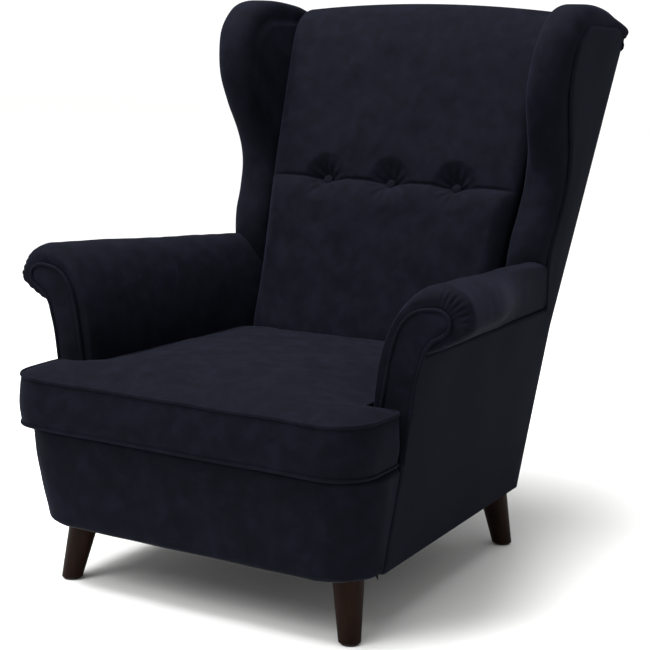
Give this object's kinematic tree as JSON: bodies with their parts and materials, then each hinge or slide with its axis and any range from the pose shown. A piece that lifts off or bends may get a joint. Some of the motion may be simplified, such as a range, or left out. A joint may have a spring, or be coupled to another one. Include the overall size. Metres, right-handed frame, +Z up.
{
  "type": "wing-back armchair",
  "caption": "Fully upholstered wing-back armchair with rolled arms, a loose T-shaped seat cushion with piping, a button-tufted back and short splayed round wooden legs.",
  "frame": {"origin": "centre of the chair's overall plan, on the floor", "axes": "+Z up, -Y towards the front of the seat, +X towards the sitter's left"},
  "size_m": [0.89, 0.955, 1.008],
  "materials": {
    "cover_cloth": "short-pile midnight navy velvet",
    "padding": "polyurethane foam and wadding",
    "lining_cloth": "black non-woven lining and webbing",
    "leg_wood": "turned beech, dark walnut stain, satin lacquer",
    "frame_wood": "planed beech, unfinished",
    "spring_steel": "drawn spring steel and zinc-plated fasteners",
    "zip_metal": "black nickel",
    "zip_tape": "nylon coil zip on woven tape",
    "glide_plastic": "moulded polyethylene"
  },
  "bodies": {
    "chair": {"apron_cover": "cover_cloth", "apron_padding": "padding", "arm_cover_left": "cover_cloth", "arm_cover_right": "cover_cloth", "arm_facing_left": "cover_cloth", "arm_facing_right": "cover_cloth", "arm_foam_left": "padding", "arm_foam_right": "padding", "arm_post_left": "frame_wood", "arm_post_right": "frame_wood", "arm_rail_left": "frame_wood", "arm_rail_right": "frame_wood", "back_button_1": "cover_cloth", "back_button_2": "cover_cloth", "back_button_3": "cover_cloth", "back_cover_lower": "cover_cloth", "back_cover_upper": "cover_cloth", "back_foam": "padding", "back_post_left": "frame_wood", "back_post_right": "frame_wood", "back_tacking_rail": "frame_wood", "back_top_rail": "frame_wood", "back_webbing": "lining_cloth", "base_back_rail": "frame_wood", "button_ties": "lining_cloth", "dust_cover": "lining_cloth", "front_corner_block_left": "frame_wood", "front_corner_block_right": "frame_wood", "front_rail": "frame_wood", "leg_bolts": "spring_steel", "leg_front_left": "leg_wood", "leg_front_right": "leg_wood", "leg_glides": "glide_plastic", "leg_insert_nuts": "spring_steel", "leg_rear_left": "leg_wood", "leg_rear_right": "leg_wood", "outside_back": "cover_cloth", "scroll_board_left": "frame_wood", "scroll_board_right": "frame_wood", "seat_deck_cloth": "cover_cloth", "seat_deck_pad": "padding", "seat_springs": "spring_steel", "side_panel_left": "cover_cloth", "side_panel_right": "cover_cloth", "side_rail_left": "frame_wood", "side_rail_right": "frame_wood", "spring_clips": "spring_steel", "spring_insulator": "lining_cloth", "wing_board_left": "frame_wood", "wing_board_right": "frame_wood", "wing_cover_left": "cover_cloth", "wing_cover_right": "cover_cloth", "wing_foam_left": "padding", "wing_foam_right": "padding"},
    "seat_cushion": {"cushion_foam": "padding", "cushion_cover": "cover_cloth", "cushion_piping": "cover_cloth", "cushion_zip_chain": "zip_tape"},
    "zip_slider": {"cushion_zip_slider": "zip_metal"}
  },
  "joints": [
    {"name": "cushion_lift", "type": "slide", "parent": "chair", "child": "seat_cushion", "axis": [0, 0, 1], "range_m": [0, 0.35]},
    {"name": "zip_run", "type": "slide", "parent": "seat_cushion", "child": "zip_slider", "axis": [-1, 0, 0], "range_m": [0, 0.36]}
  ]
}
